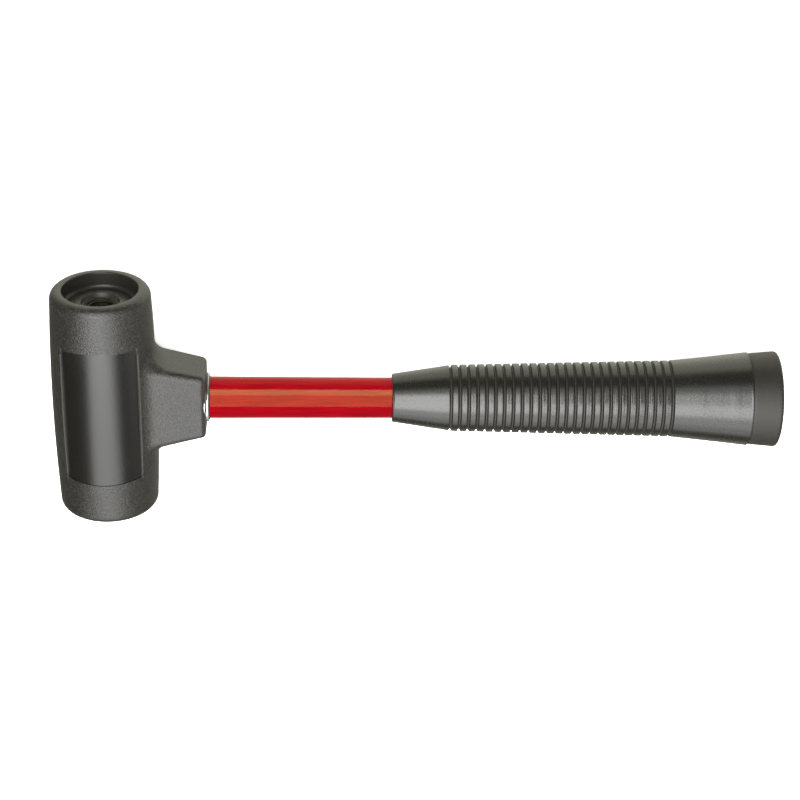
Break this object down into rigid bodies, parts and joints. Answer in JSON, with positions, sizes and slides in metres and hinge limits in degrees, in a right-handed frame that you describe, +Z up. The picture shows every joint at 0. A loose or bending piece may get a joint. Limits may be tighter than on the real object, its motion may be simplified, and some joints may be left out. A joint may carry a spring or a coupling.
{
  "type": "dead blow mallet",
  "caption": "Dead blow mallet with a moulded barrel head open at both ends for screw-in tips, loose steel shot inside, a round red rod handle and a ribbed rubber grip.",
  "frame": {"origin": "on the surface it lies on, under the middle of its bounding box", "axes": "+X along the handle towards the butt, +Y along the head's axis, +Z up out of the upper cheek"},
  "size_m": [0.318, 0.1052, 0.0447],
  "materials": {
    "head_urethane": "fine pebbled satin",
    "canister_steel": "plain drawn",
    "plug_steel": "dark turned",
    "socket_steel": "bright turned",
    "glue": "cured, dark",
    "rod_red": "glossy",
    "grip_rubber": "satin",
    "cap_rubber": "matt",
    "shot_steel": "dull"
  },
  "bodies": {
    "mallet": {"head_body": "head_urethane", "canister_tube": "canister_steel", "canister_plug_top": "plug_steel", "canister_plug_bottom": "plug_steel", "handle_socket": "socket_steel", "rod_glue": "glue", "handle_rod": "rod_red", "grip_sleeve": "grip_rubber", "end_cap": "cap_rubber"},
    "shot_charge": {"shot_row_01": "shot_steel", "shot_row_02": "shot_steel", "shot_row_03": "shot_steel", "shot_row_04": "shot_steel", "shot_row_05": "shot_steel", "shot_row_06": "shot_steel", "shot_row_07": "shot_steel", "shot_row_08": "shot_steel", "shot_row_09": "shot_steel", "shot_row_10": "shot_steel", "shot_row_11": "shot_steel", "shot_row_12": "shot_steel"}
  },
  "joints": [
    {"name": "shot_slide", "type": "slide", "parent": "mallet", "child": "shot_charge", "axis": [0, 1, 0], "range_m": [-0.0054, 0.0054]}
  ]
}
